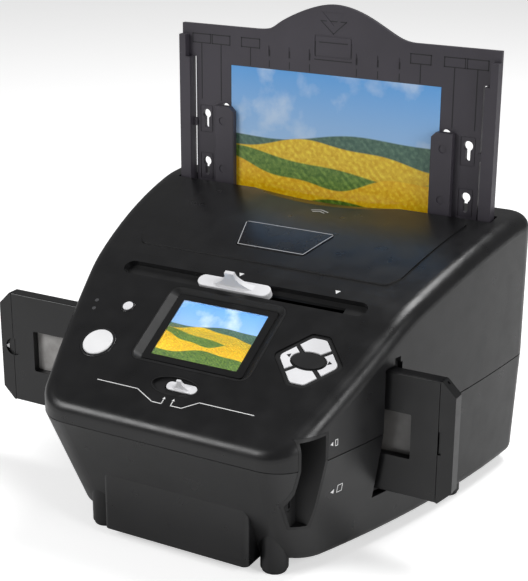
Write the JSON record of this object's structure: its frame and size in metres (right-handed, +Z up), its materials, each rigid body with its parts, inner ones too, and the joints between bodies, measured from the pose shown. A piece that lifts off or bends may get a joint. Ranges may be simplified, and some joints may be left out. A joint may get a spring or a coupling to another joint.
{
  "type": "film negative scanner",
  "caption": "Desktop scanner with a sloping control panel and screen, a film holder that slides through the sides and a print tray that pulls up at the back",
  "frame": {"origin": "on the surface the scanner stands on, under the middle of the housing", "axes": "+X to the right of someone facing the control panel, the way the film holder slides; +Y to the rear; +Z up"},
  "size_m": [0.27, 0.21, 0.25],
  "materials": {
    "shell": "satin",
    "frame_dark": "matt",
    "tray": "satin",
    "silver": "satin",
    "bezel": "satin",
    "white": "satin",
    "window": "polished",
    "screen": "gloss",
    "lens_glass": "polished",
    "board": "semi-gloss",
    "chip": "matt",
    "steel": "brushed",
    "rod": "polished",
    "rubber": "matt",
    "light": "satin",
    "film": "gloss",
    "print": "gloss"
  },
  "bodies": {
    "housing": {"upper_shell": "shell", "lower_shell": "shell", "front_plinth": "shell", "trim_plate": "silver", "foot_front_left": "rubber", "foot_front_right": "rubber", "foot_rear_left": "rubber", "foot_rear_right": "rubber", "lcd_surround": "frame_dark", "lcd_bezel": "bezel", "lcd_window": "window", "lcd_module": "screen", "keypad_plate": "frame_dark", "scan_ring": "silver", "power_ring": "silver", "indicator_lenses": "light", "mode_dish": "frame_dark", "button_board": "board", "board_screws": "steel", "panel_switches": "chip", "slider_track": "frame_dark", "slider_rod": "rod", "film_sleeve": "frame_dark", "tray_channel_left": "frame_dark", "tray_channel_right": "frame_dark", "port_liner": "frame_dark", "usb_socket": "steel", "card_socket": "chip", "port_board": "board", "camera_module": "chip", "camera_lens": "lens_glass", "camera_bracket": "steel", "light_bar_left": "light", "light_bar_right": "light", "main_board": "board", "board_chips": "chip", "case_screws": "steel"},
    "print_tray": {"tray_plate": "tray", "photo_print": "print"},
    "guide_left": {"print_guide_left": "tray"},
    "guide_right": {"print_guide_right": "tray"},
    "film_holder": {"holder_base": "shell", "holder_lid": "shell", "film_strip": "film", "holder_hinge_pins": "steel"},
    "slider": {"slider_knob": "white", "light_carriage": "frame_dark", "film_light": "light"},
    "mode_lever": {"mode_lever": "white"},
    "scan_button": {"scan_button": "silver"},
    "power_button": {"power_button": "white"},
    "key_up": {"key_up": "white"},
    "key_down": {"key_down": "white"},
    "key_left": {"key_left": "white"},
    "key_right": {"key_right": "white"}
  },
  "joints": [
    {"name": "tray_slide", "type": "slide", "parent": "housing", "child": "print_tray", "axis": [0, 0, 1], "range_m": [-0.098, 0.01]},
    {"name": "guide_left_slide", "type": "slide", "parent": "print_tray", "child": "guide_left", "axis": [0, 0, 1], "range_m": [0, 0.007]},
    {"name": "guide_right_slide", "type": "slide", "parent": "print_tray", "child": "guide_right", "axis": [0, 0, 1], "range_m": [0, 0.007]},
    {"name": "film_holder_slide", "type": "slide", "parent": "housing", "child": "film_holder", "axis": [1, 0, 0], "range_m": [-0.087, 0.103]},
    {"name": "light_slider", "type": "slide", "parent": "housing", "child": "slider", "axis": [1, 0, 0], "range_m": [0, 0.052]},
    {"name": "mode_switch", "type": "slide", "parent": "housing", "child": "mode_lever", "axis": [1, 0, 0], "range_m": [-0.007, 0]},
    {"name": "press_scan", "type": "slide", "parent": "housing", "child": "scan_button", "axis": [0, 0.4955, -0.8686], "range_m": [0, 0.0008], "stiffness_N_per_m": 900},
    {"name": "press_power", "type": "slide", "parent": "housing", "child": "power_button", "axis": [0, 0.4955, -0.8686], "range_m": [0, 0.0008], "stiffness_N_per_m": 900},
    {"name": "press_key_up", "type": "slide", "parent": "housing", "child": "key_up", "axis": [0, 0.4955, -0.8686], "range_m": [0, 0.0008], "stiffness_N_per_m": 900},
    {"name": "press_key_down", "type": "slide", "parent": "housing", "child": "key_down", "axis": [0, 0.4955, -0.8686], "range_m": [0, 0.0008], "stiffness_N_per_m": 900},
    {"name": "press_key_left", "type": "slide", "parent": "housing", "child": "key_left", "axis": [0, 0.4955, -0.8686], "range_m": [0, 0.0008], "stiffness_N_per_m": 900},
    {"name": "press_key_right", "type": "slide", "parent": "housing", "child": "key_right", "axis": [0, 0.4955, -0.8686], "range_m": [0, 0.0008], "stiffness_N_per_m": 900}
  ]
}
